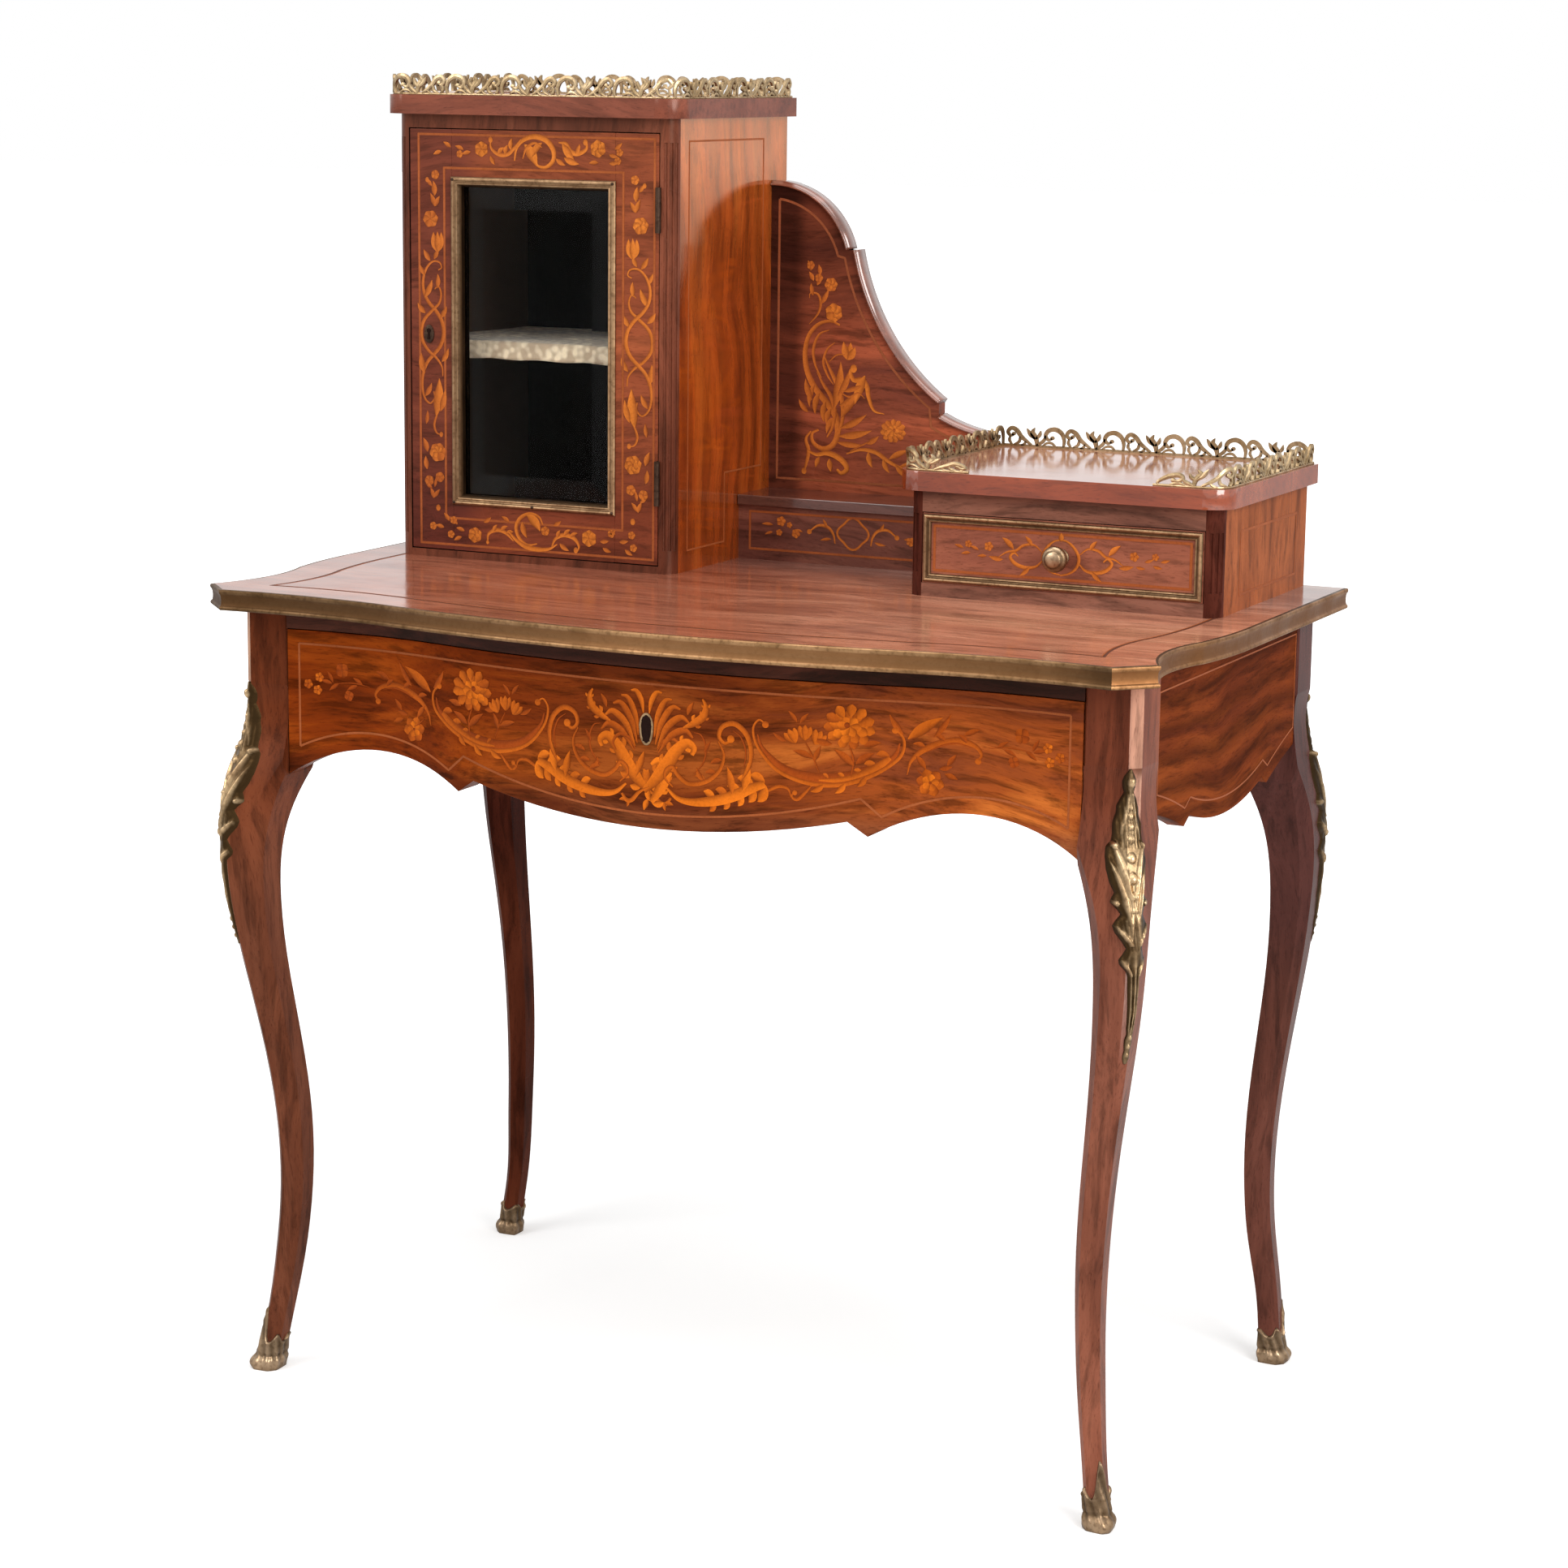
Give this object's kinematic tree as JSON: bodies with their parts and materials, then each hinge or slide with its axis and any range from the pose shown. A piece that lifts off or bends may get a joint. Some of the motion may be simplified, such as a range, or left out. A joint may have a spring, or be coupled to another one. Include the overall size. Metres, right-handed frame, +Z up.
{
  "type": "bonheur du jour",
  "caption": "Serpentine writing table on cabriole legs with a glazed cabinet, a small drawer box and a scrolled back, inlaid wood with brass galleries.",
  "frame": {"origin": "on the floor, under the middle of the whole piece", "axes": "+X to the sitter's right, -Y towards the sitter, +Z up"},
  "size_m": [0.93, 0.572, 1.223],
  "materials": {
    "rosewood_top": "French polished",
    "rosewood_veneer": "French polished with inlay",
    "dark_rosewood": "French polished",
    "figured_side": "French polished",
    "drawer_lining": "bare planed oak",
    "back_boards": "stained",
    "aged_brass": "aged and lightly polished",
    "lock_steel": "filed",
    "bevelled_glass": "clear, bevelled",
    "brocade": "woven"
  },
  "bodies": {
    "desk": {"tabletop": "rosewood_top", "top_brass_band": "aged_brass", "front_left_leg": "dark_rosewood", "front_right_leg": "dark_rosewood", "back_left_leg": "dark_rosewood", "back_right_leg": "dark_rosewood", "knee_mounts": "aged_brass", "sabots": "aged_brass", "side_apron_right": "rosewood_veneer", "side_apron_left": "rosewood_veneer", "back_apron": "back_boards", "front_top_rail": "dark_rosewood", "drawer_runners": "drawer_lining", "cabinet_left_side": "figured_side", "cabinet_right_side": "figured_side", "cabinet_back": "back_boards", "cabinet_bottom": "dark_rosewood", "cabinet_rails": "dark_rosewood", "cabinet_corner_stiles": "dark_rosewood", "cabinet_cornice": "dark_rosewood", "cabinet_gallery": "aged_brass", "cabinet_shelf": "dark_rosewood", "shelf_pins": "aged_brass", "shelf_cloth": "brocade", "cabinet_hinge_leaves": "aged_brass", "box_left_side": "figured_side", "box_right_side": "figured_side", "box_back": "back_boards", "box_bottom": "dark_rosewood", "box_rails": "dark_rosewood", "box_corner_stiles": "dark_rosewood", "box_top": "rosewood_top", "box_gallery": "aged_brass", "plinth_front": "rosewood_veneer", "plinth_ledge": "dark_rosewood", "scroll_board": "rosewood_veneer", "scroll_capping": "rosewood_veneer"},
    "main_drawer": {"main_drawer_front": "rosewood_veneer", "main_drawer_sides": "drawer_lining", "main_drawer_back": "drawer_lining", "main_drawer_bottom": "drawer_lining", "main_drawer_lock": "lock_steel"},
    "main_drawer_bolt": {"main_drawer_bolt": "lock_steel"},
    "door": {"door_left_stile": "rosewood_veneer", "door_right_stile": "rosewood_veneer", "door_bottom_rail": "rosewood_veneer", "door_top_rail": "rosewood_veneer", "door_bezel": "aged_brass", "door_glass": "bevelled_glass", "door_glazing_beads": "dark_rosewood", "door_hinge_leaves": "aged_brass", "door_lock": "lock_steel", "door_escutcheon": "aged_brass"},
    "door_bolt": {"door_bolt": "lock_steel"},
    "small_drawer": {"small_drawer_front": "rosewood_veneer", "small_drawer_brass_frame": "aged_brass", "small_drawer_knob": "aged_brass", "small_drawer_sides": "drawer_lining", "small_drawer_back": "drawer_lining", "small_drawer_bottom": "drawer_lining"}
  },
  "joints": [
    {"name": "main_drawer_slide", "type": "slide", "parent": "desk", "child": "main_drawer", "axis": [0, -1, 0], "range_m": [0, 0.3]},
    {"name": "main_drawer_bolt_slide", "type": "slide", "parent": "main_drawer", "child": "main_drawer_bolt", "axis": [0, 0, 1], "range_m": [0, 0.008]},
    {"name": "door_swing", "type": "hinge", "parent": "desk", "child": "door", "pos_m": [-0.137, 0.0371, 0.97], "axis": [0, 0, 1], "range_deg": [0, 150]},
    {"name": "door_bolt_slide", "type": "slide", "parent": "door", "child": "door_bolt", "axis": [-1, 0, 0], "range_m": [0, 0.007]},
    {"name": "small_drawer_slide", "type": "slide", "parent": "desk", "child": "small_drawer", "axis": [0, -1, 0], "range_m": [0, 0.15]}
  ]
}
